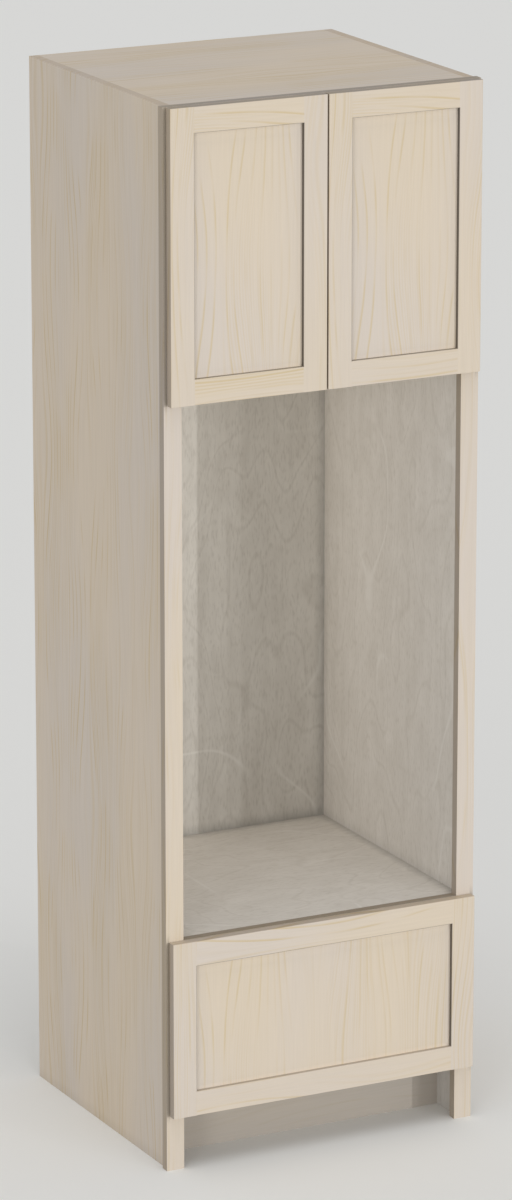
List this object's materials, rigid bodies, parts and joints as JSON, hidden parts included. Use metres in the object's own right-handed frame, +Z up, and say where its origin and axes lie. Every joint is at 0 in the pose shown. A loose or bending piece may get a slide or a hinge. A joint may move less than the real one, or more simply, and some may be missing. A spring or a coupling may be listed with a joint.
{
  "type": "tall oven housing unit",
  "caption": "Tall framed kitchen cabinet with two shaker doors over an open oven bay, a deep drawer on ball runners below it and a recessed toe board.",
  "frame": {"origin": "on the floor, under the middle of the cabinet's outer box", "axes": "+Z up, -Y towards the doors and drawer, +X to the right seen from the front"},
  "size_m": [0.6858, 0.6292, 2.1336],
  "materials": {
    "maple_solid": "clear satin lacquer on planed maple",
    "maple_veneer_board": "clear satin lacquer on maple veneer",
    "interior_plywood": "matt sealed plywood",
    "drawer_maple": "clear satin lacquer on planed maple",
    "birch_block": "sawn birch",
    "beech_dowel": "turned beech",
    "zinc_steel": "bright zinc plate",
    "nickel_steel": "nickel plate",
    "clear_rubber": "soft translucent"
  },
  "bodies": {
    "cabinet": {"side_panel_left": "maple_veneer_board", "side_panel_right": "maple_veneer_board", "top_panel": "maple_veneer_board", "upper_deck": "interior_plywood", "oven_deck": "interior_plywood", "cabinet_floor": "interior_plywood", "back_panel": "interior_plywood", "toe_board": "maple_veneer_board", "rear_base_rail": "maple_veneer_board", "deck_cleats": "birch_block", "runner_block_left": "birch_block", "runner_block_right": "birch_block", "cupboard_shelf": "interior_plywood", "shelf_pins": "zinc_steel", "frame_stile_left": "maple_solid", "frame_stile_right": "maple_solid", "frame_rail_top": "maple_solid", "frame_rail_middle": "maple_solid", "frame_rail_oven": "maple_solid", "frame_rail_bottom": "maple_solid", "joint_dowels": "beech_dowel", "hinge_arms": "nickel_steel", "hinge_plate_screws": "zinc_steel", "runner_cabinet_left": "zinc_steel", "runner_cabinet_right": "zinc_steel", "runner_block_screws": "zinc_steel"},
    "door_left": {"door_left_hinge_stile": "maple_solid", "door_left_lock_stile": "maple_solid", "door_left_top_rail": "maple_solid", "door_left_bottom_rail": "maple_solid", "door_left_panel": "maple_solid", "door_left_cups": "nickel_steel", "door_left_cup_screws": "zinc_steel", "door_left_bumpers": "clear_rubber"},
    "door_right": {"door_right_hinge_stile": "maple_solid", "door_right_lock_stile": "maple_solid", "door_right_top_rail": "maple_solid", "door_right_bottom_rail": "maple_solid", "door_right_panel": "maple_solid", "door_right_cups": "nickel_steel", "door_right_cup_screws": "zinc_steel", "door_right_bumpers": "clear_rubber"},
    "drawer": {"drawer_front_stile_left": "maple_solid", "drawer_front_stile_right": "maple_solid", "drawer_front_top_rail": "maple_solid", "drawer_front_bottom_rail": "maple_solid", "drawer_front_panel": "maple_solid", "drawer_side_left": "drawer_maple", "drawer_side_right": "drawer_maple", "drawer_box_front": "drawer_maple", "drawer_box_back": "drawer_maple", "drawer_bottom": "drawer_maple", "runner_drawer_left": "zinc_steel", "runner_drawer_right": "zinc_steel", "drawer_screws": "zinc_steel", "drawer_bumpers": "clear_rubber"},
    "runner_middles": {"runner_middle_left": "zinc_steel", "runner_middle_right": "zinc_steel"},
    "cages_outer": {"ball_cages_outer": "nickel_steel"},
    "cages_inner": {"ball_cages_inner": "nickel_steel"}
  },
  "joints": [
    {"name": "door_left_swing", "type": "hinge", "parent": "cabinet", "child": "door_left", "pos_m": [-0.32955, -0.30605, 1.84468], "axis": [0, 0, -1], "range_deg": [0, 100]},
    {"name": "door_right_swing", "type": "hinge", "parent": "cabinet", "child": "door_right", "pos_m": [0.32955, -0.30605, 1.84468], "axis": [0, 0, 1], "range_deg": [0, 100]},
    {"name": "drawer_slide", "type": "slide", "parent": "cabinet", "child": "drawer", "axis": [0, -1, 0], "range_m": [0, 0.5334]},
    {"name": "runner_middle_slide", "type": "slide", "parent": "cabinet", "child": "runner_middles", "axis": [0, -1, 0], "range_m": [0, 0.2667]},
    {"name": "outer_cage_slide", "type": "slide", "parent": "cabinet", "child": "cages_outer", "axis": [0, -1, 0], "range_m": [0, 0.13335]},
    {"name": "inner_cage_slide", "type": "slide", "parent": "cabinet", "child": "cages_inner", "axis": [0, -1, 0], "range_m": [0, 0.40005]}
  ],
  "couplings": [
    {"joint": "runner_middle_slide", "follows": "drawer_slide", "ratio": 0.5},
    {"joint": "outer_cage_slide", "follows": "drawer_slide", "ratio": 0.25},
    {"joint": "inner_cage_slide", "follows": "drawer_slide", "ratio": 0.75}
  ]
}
